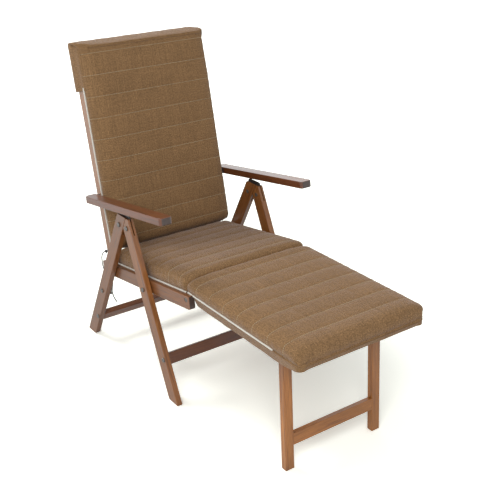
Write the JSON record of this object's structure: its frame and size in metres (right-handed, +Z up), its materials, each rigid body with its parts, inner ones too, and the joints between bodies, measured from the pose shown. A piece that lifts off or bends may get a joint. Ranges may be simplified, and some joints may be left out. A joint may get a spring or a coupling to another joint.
{
  "type": "reclining garden armchair",
  "caption": "Folding wooden garden armchair with a reclining back, a footrest on its own legs and a long channelled cushion.",
  "frame": {"origin": "on the floor, under the middle of the bounding box", "axes": "+Z up, the sitter faces -Y, +X towards the sitter's left"},
  "size_m": [0.6, 1.3034, 1.1034],
  "materials": {
    "oiled_hardwood": "oiled red-brown hardwood with a satin sheen",
    "cushion_fabric": "matt woven cotton and polyester cover over a soft filling",
    "tie_cord": "dark brown twisted cord",
    "black_steel": "black lacquer, satin",
    "zinc_steel": "dull zinc plate"
  },
  "bodies": {
    "seat_frame": {"seat_rail_left": "oiled_hardwood", "seat_rail_right": "oiled_hardwood", "seat_slat_1": "oiled_hardwood", "seat_slat_2": "oiled_hardwood", "seat_slat_3": "oiled_hardwood", "seat_slat_4": "oiled_hardwood", "seat_slat_5": "oiled_hardwood", "seat_rear_cross_rail": "oiled_hardwood", "seat_hook_left": "zinc_steel", "seat_hook_right": "zinc_steel", "footrest_hinge_bolt_left": "zinc_steel", "footrest_hinge_bolt_right": "zinc_steel", "seat_cushion": "cushion_fabric"},
    "front_legs": {"front_leg_left": "oiled_hardwood", "front_leg_right": "oiled_hardwood", "front_stretcher": "oiled_hardwood", "front_stretcher_bolts": "zinc_steel", "front_leg_bolts": "zinc_steel", "seat_pivot_bolts": "zinc_steel"},
    "leg_brackets": {"leg_bracket_left": "black_steel", "leg_bracket_right": "black_steel"},
    "rear_legs": {"rear_leg_left": "oiled_hardwood", "rear_leg_right": "oiled_hardwood", "rear_stretcher": "oiled_hardwood", "rear_stretcher_bolts": "zinc_steel", "rear_leg_bolts": "zinc_steel", "seat_rest_studs": "zinc_steel"},
    "back_hinge": {"back_hinge_bolts": "zinc_steel"},
    "back_frame": {"back_stile_left": "oiled_hardwood", "back_stile_right": "oiled_hardwood", "back_top_rail": "oiled_hardwood", "back_slat_1": "oiled_hardwood", "back_slat_2": "oiled_hardwood", "back_slat_3": "oiled_hardwood", "back_slat_4": "oiled_hardwood", "back_slat_5": "oiled_hardwood", "back_slat_6": "oiled_hardwood", "back_cushion": "cushion_fabric", "back_cushion_hood": "cushion_fabric", "cushion_tie": "tie_cord"},
    "arm_hinge_left": {"arm_hinge_bolt_left": "zinc_steel"},
    "arm_hinge_right": {"arm_hinge_bolt_right": "zinc_steel"},
    "arm_left": {"armrest_left": "oiled_hardwood", "arm_rack_left": "zinc_steel", "arm_hinge_plate_left": "black_steel"},
    "arm_right": {"armrest_right": "oiled_hardwood", "arm_rack_right": "zinc_steel", "arm_hinge_plate_right": "black_steel"},
    "footrest_frame": {"footrest_rail_left": "oiled_hardwood", "footrest_rail_right": "oiled_hardwood", "footrest_end_rail": "oiled_hardwood", "footrest_slat_1": "oiled_hardwood", "footrest_slat_2": "oiled_hardwood", "footrest_slat_3": "oiled_hardwood", "footrest_leg_bolts": "zinc_steel", "foot_cushion": "cushion_fabric", "foot_cushion_skirt": "cushion_fabric"},
    "footrest_legs": {"footrest_leg_left": "oiled_hardwood", "footrest_leg_right": "oiled_hardwood", "footrest_leg_bar": "oiled_hardwood"}
  },
  "joints": [
    {"name": "fold", "type": "hinge", "parent": "seat_frame", "child": "front_legs", "pos_m": [0, 0.1194, 0.353], "axis": [-1, 0, 0], "range_deg": [0, 48], "deforming": ["seat_cushion"]},
    {"name": "bracket_fold", "type": "hinge", "parent": "front_legs", "child": "leg_brackets", "pos_m": [0, 0.21363, 0.542], "axis": [-1, 0, 0], "range_deg": [0, 20.01]},
    {"name": "rear_leg_fold", "type": "hinge", "parent": "leg_brackets", "child": "rear_legs", "pos_m": [0, 0.26663, 0.538], "axis": [-1, 0, 0], "range_deg": [0, 28.01]},
    {"name": "back_fold", "type": "hinge", "parent": "seat_frame", "child": "back_hinge", "pos_m": [0, 0.42212, 0.30767], "axis": [-1, 0, 0], "range_deg": [-70.01, 0]},
    {"name": "recline", "type": "hinge", "parent": "back_hinge", "child": "back_frame", "pos_m": [0, 0.42212, 0.30767], "axis": [-1, 0, 0], "range_deg": [0, 30], "deforming": ["back_cushion", "back_cushion_hood", "cushion_tie"]},
    {"name": "arm_hinge_turn_left", "type": "hinge", "parent": "back_frame", "child": "arm_hinge_left", "pos_m": [0.2535, 0.48849, 0.55906], "axis": [-1, 0, 0], "range_deg": [-22.8, 0]},
    {"name": "arm_fold_left", "type": "hinge", "parent": "arm_hinge_left", "child": "arm_left", "pos_m": [0.2535, 0.48849, 0.55906], "axis": [-1, 0, 0], "range_deg": [0, 70.01]},
    {"name": "arm_hinge_turn_right", "type": "hinge", "parent": "back_frame", "child": "arm_hinge_right", "pos_m": [-0.2535, 0.48849, 0.55906], "axis": [-1, 0, 0], "range_deg": [-22.8, 0]},
    {"name": "arm_fold_right", "type": "hinge", "parent": "arm_hinge_right", "child": "arm_right", "pos_m": [-0.2535, 0.48849, 0.55906], "axis": [-1, 0, 0], "range_deg": [0, 70.01]},
    {"name": "footrest_tilt", "type": "hinge", "parent": "seat_frame", "child": "footrest_frame", "pos_m": [0, -0.11337, 0.41], "axis": [-1, 0, 0], "range_deg": [-30, 25], "deforming": ["foot_cushion", "foot_cushion_skirt"]},
    {"name": "footrest_leg_fold", "type": "hinge", "parent": "footrest_frame", "child": "footrest_legs", "pos_m": [0, -0.50672, 0.41618], "axis": [-1, 0, 0], "range_deg": [-85, 0]}
  ],
  "couplings": [
    {"joint": "bracket_fold", "follows": "fold", "ratio": 0.41667},
    {"joint": "rear_leg_fold", "follows": "fold", "ratio": 0.58333},
    {"joint": "back_fold", "follows": "fold", "ratio": -1.4583},
    {"joint": "arm_fold_left", "follows": "fold", "ratio": 1.4583},
    {"joint": "arm_fold_right", "follows": "fold", "ratio": 1.4583},
    {"joint": "arm_hinge_turn_left", "follows": "recline", "ratio": -0.75838},
    {"joint": "arm_hinge_turn_right", "follows": "recline", "ratio": -0.75838}
  ]
}
